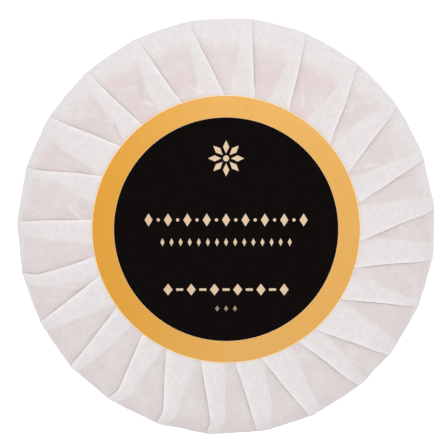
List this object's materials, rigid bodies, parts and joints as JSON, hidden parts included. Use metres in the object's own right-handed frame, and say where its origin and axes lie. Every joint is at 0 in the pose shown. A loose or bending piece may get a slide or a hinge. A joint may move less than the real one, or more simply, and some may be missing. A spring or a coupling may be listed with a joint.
{
  "type": "wrapped shaving soap puck",
  "caption": "Round cake of shaving soap wrapped in one sheet of translucent tissue, pleated towards the middle of the front and closed by a round foil-stamped label",
  "frame": {"origin": "middle of the smooth back, on the plane that the puck rests on", "axes": "+Z out of the labelled front, +Y to the top of the label, +X to its right"},
  "size_m": [0.0781, 0.078, 0.0199],
  "materials": {
    "soap": "satin",
    "tissue": "matte",
    "label_glue": "satin",
    "label_paper": "satin",
    "ring_foil": "satin",
    "ornament_foil": "satin"
  },
  "bodies": {
    "root": {"soap_puck": "soap", "wrapper": "tissue", "label_adhesive": "label_glue", "label_face": "label_paper", "foil_ring": "ring_foil", "foil_emblem": "ornament_foil", "foil_title_rule": "ornament_foil", "foil_scent_rule": "ornament_foil", "foil_lower_rule": "ornament_foil", "foil_foot_rule": "ornament_foil"}
  },
  "joints": []
}
